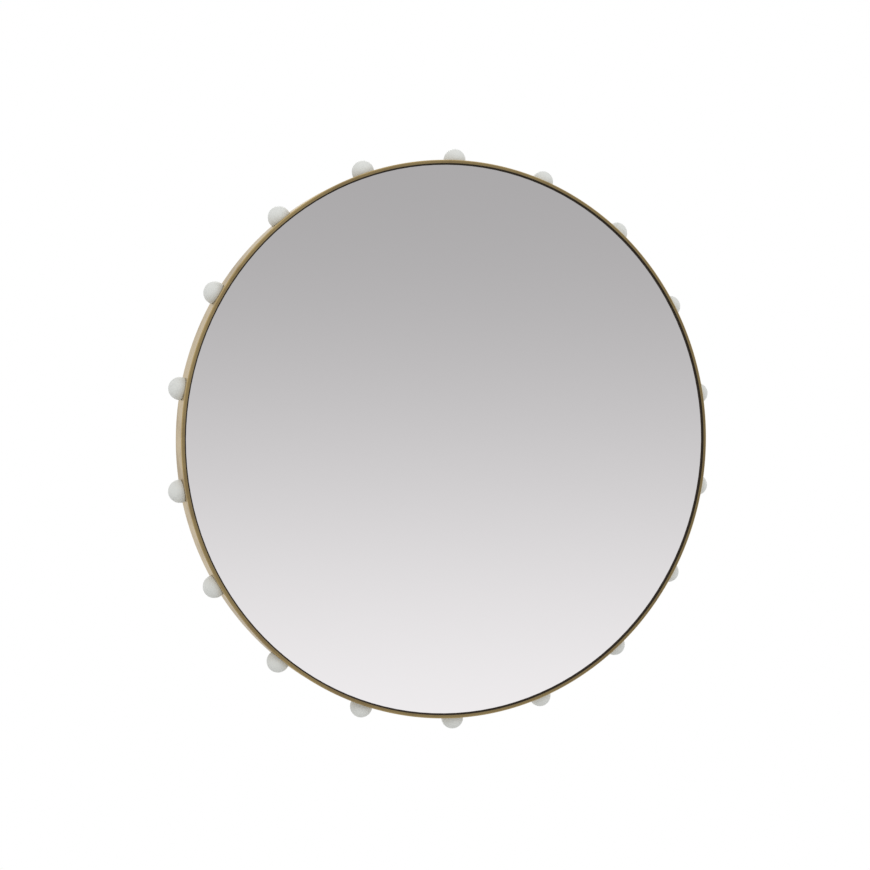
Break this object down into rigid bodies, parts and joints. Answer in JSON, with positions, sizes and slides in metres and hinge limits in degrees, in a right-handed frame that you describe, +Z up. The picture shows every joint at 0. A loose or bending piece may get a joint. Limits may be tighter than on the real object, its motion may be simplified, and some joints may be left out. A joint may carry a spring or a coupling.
{
  "type": "round wall mirror",
  "caption": "Round flat wall mirror in a deep brass-finished hoop with marble balls spaced round its outer edge; ring hangers on the back.",
  "frame": {"origin": "centre of the hoop, in the plane of the wall that its rear rim rests on", "axes": "+Z up, +X to the right as seen from the front, and -Y out of the mirror's face; +Y points into the wall"},
  "size_m": [0.8986, 0.045, 0.9118],
  "materials": {
    "antique_brass": "antique, brushed satin",
    "marble": "honed white marble, faint grey veins",
    "mirror": "silvered clear glass, painted back",
    "seal_rubber": "black foam tape",
    "adhesive_foam": "white double-sided foam",
    "black_board": "fibreboard painted black",
    "rail_wood": "softwood painted black",
    "plain_brass": "turned brass",
    "zinc_steel": "zinc plated",
    "tab_steel": "brass finish as the hoop",
    "hanger_steel": "nickel plated",
    "bumper_rubber": "matt black rubber"
  },
  "bodies": {
    "mirror": {"adhesive_strips": "adhesive_foam", "backing_board": "black_board", "ball_inserts": "plain_brass", "ball_screws": "zinc_steel", "ball_washers": "zinc_steel", "bumper_screws": "zinc_steel", "frame_hoop": "antique_brass", "glazing_seal": "seal_rubber", "hanger_screws": "zinc_steel", "hanger_strap_left": "hanger_steel", "hanger_strap_right": "hanger_steel", "hanging_rail": "rail_wood", "marble_ball_01": "marble", "marble_ball_02": "marble", "marble_ball_03": "marble", "marble_ball_04": "marble", "marble_ball_05": "marble", "marble_ball_06": "marble", "marble_ball_07": "marble", "marble_ball_08": "marble", "marble_ball_09": "marble", "marble_ball_10": "marble", "marble_ball_11": "marble", "marble_ball_12": "marble", "marble_ball_13": "marble", "marble_ball_14": "marble", "marble_ball_15": "marble", "marble_ball_16": "marble", "marble_ball_17": "marble", "marble_ball_18": "marble", "mirror_glass": "mirror", "rail_screws": "zinc_steel", "retaining_tab_1": "tab_steel", "retaining_tab_2": "tab_steel", "retaining_tab_3": "tab_steel", "retaining_tab_4": "tab_steel", "retaining_tab_5": "tab_steel", "retaining_tab_6": "tab_steel", "spacer_rail": "rail_wood", "tab_screws": "zinc_steel", "wall_bumper_left": "bumper_rubber", "wall_bumper_right": "bumper_rubber"},
    "ring_left": {"hanger_ring_left": "hanger_steel"},
    "ring_right": {"hanger_ring_right": "hanger_steel"}
  },
  "joints": [
    {"name": "ring_left_swing", "type": "hinge", "parent": "mirror", "child": "ring_left", "pos_m": [-0.22, -0.00995, 0.202], "axis": [1, 0, 0], "range_deg": [0, 177]},
    {"name": "ring_right_swing", "type": "hinge", "parent": "mirror", "child": "ring_right", "pos_m": [0.22, -0.00995, 0.202], "axis": [1, 0, 0], "range_deg": [0, 177]}
  ]
}
